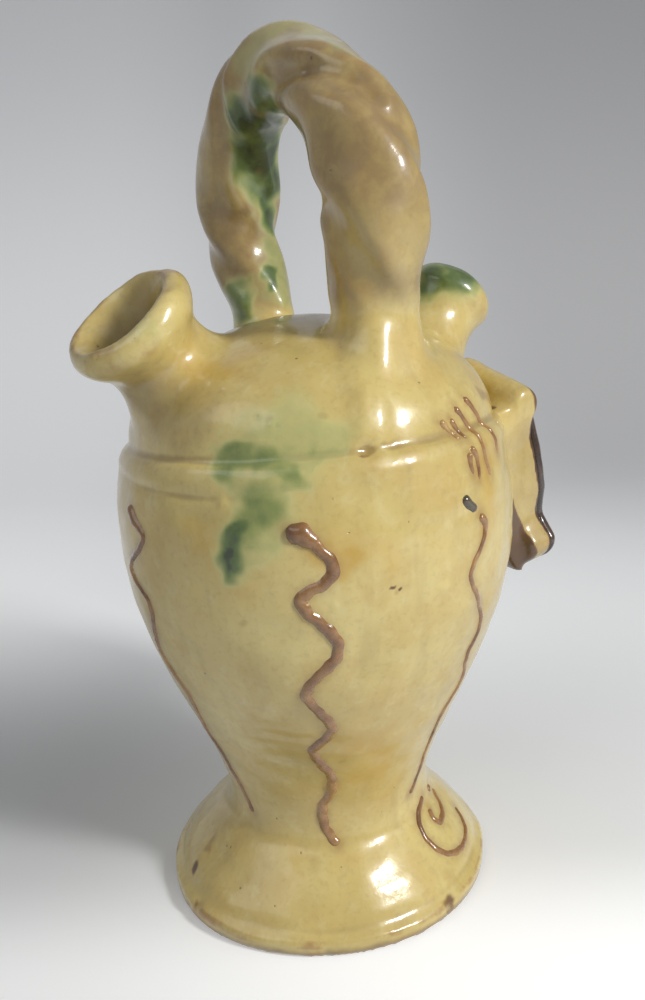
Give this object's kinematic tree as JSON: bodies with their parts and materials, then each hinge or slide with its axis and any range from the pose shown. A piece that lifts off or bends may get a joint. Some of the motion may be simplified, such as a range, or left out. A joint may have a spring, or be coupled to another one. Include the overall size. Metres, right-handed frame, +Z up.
{
  "type": "water jug",
  "caption": "Small pedestal-footed clay water jug with a twisted handle, a side filling mouth, a narrow drinking spout and trails of slip.",
  "frame": {"origin": "centre of the foot's flat underside, where the jug stands", "axes": "+Z up; -X towards the filling mouth, +X towards the drinking spout and the cartouche under it; the handle's arch lies over the Y axis"},
  "size_m": [0.1585, 0.1306, 0.2789],
  "materials": {
    "foot": "gloss glaze",
    "belly": "gloss glaze",
    "shoulder_dome": "gloss glaze",
    "filling_mouth": "gloss glaze",
    "drinking_spout": "gloss glaze",
    "handle_coil_left": "gloss glaze",
    "handle_coil_right": "gloss glaze",
    "handle_root_front": "gloss glaze",
    "handle_root_back": "gloss glaze",
    "cartouche_plate": "gloss glaze",
    "cartouche_border": "gloss glaze",
    "cartouche_pad": "gloss glaze",
    "cartouche_roll": "gloss glaze",
    "slip_trail_1": "gloss glaze",
    "slip_trail_2": "gloss glaze",
    "slip_trail_3": "gloss glaze",
    "slip_trail_4": "gloss glaze",
    "slip_trail_5": "gloss glaze",
    "slip_stroke_near_1": "gloss glaze",
    "slip_stroke_near_2": "gloss glaze",
    "slip_stroke_near_3": "gloss glaze",
    "slip_stroke_near_4": "gloss glaze",
    "slip_stroke_near_5": "gloss glaze",
    "slip_stroke_near_6": "gloss glaze",
    "slip_stroke_far_1": "gloss glaze",
    "slip_stroke_far_2": "gloss glaze",
    "slip_stroke_far_3": "gloss glaze",
    "slip_stroke_far_4": "gloss glaze",
    "slip_stroke_far_5": "gloss glaze",
    "slip_stroke_far_6": "gloss glaze",
    "slip_snail_near": "gloss glaze",
    "slip_snail_far": "gloss glaze",
    "slip_pellet": "gloss glaze"
  },
  "bodies": {
    "root": {"foot": "foot", "belly": "belly", "shoulder_dome": "shoulder_dome", "filling_mouth": "filling_mouth", "drinking_spout": "drinking_spout", "handle_coil_left": "handle_coil_left", "handle_coil_right": "handle_coil_right", "handle_root_front": "handle_root_front", "handle_root_back": "handle_root_back", "cartouche_plate": "cartouche_plate", "cartouche_border": "cartouche_border", "cartouche_pad": "cartouche_pad", "cartouche_roll": "cartouche_roll", "slip_trail_1": "slip_trail_1", "slip_trail_2": "slip_trail_2", "slip_trail_3": "slip_trail_3", "slip_trail_4": "slip_trail_4", "slip_trail_5": "slip_trail_5", "slip_stroke_near_1": "slip_stroke_near_1", "slip_stroke_near_2": "slip_stroke_near_2", "slip_stroke_near_3": "slip_stroke_near_3", "slip_stroke_near_4": "slip_stroke_near_4", "slip_stroke_near_5": "slip_stroke_near_5", "slip_stroke_near_6": "slip_stroke_near_6", "slip_stroke_far_1": "slip_stroke_far_1", "slip_stroke_far_2": "slip_stroke_far_2", "slip_stroke_far_3": "slip_stroke_far_3", "slip_stroke_far_4": "slip_stroke_far_4", "slip_stroke_far_5": "slip_stroke_far_5", "slip_stroke_far_6": "slip_stroke_far_6", "slip_snail_near": "slip_snail_near", "slip_snail_far": "slip_snail_far", "slip_pellet": "slip_pellet"}
  },
  "joints": []
}
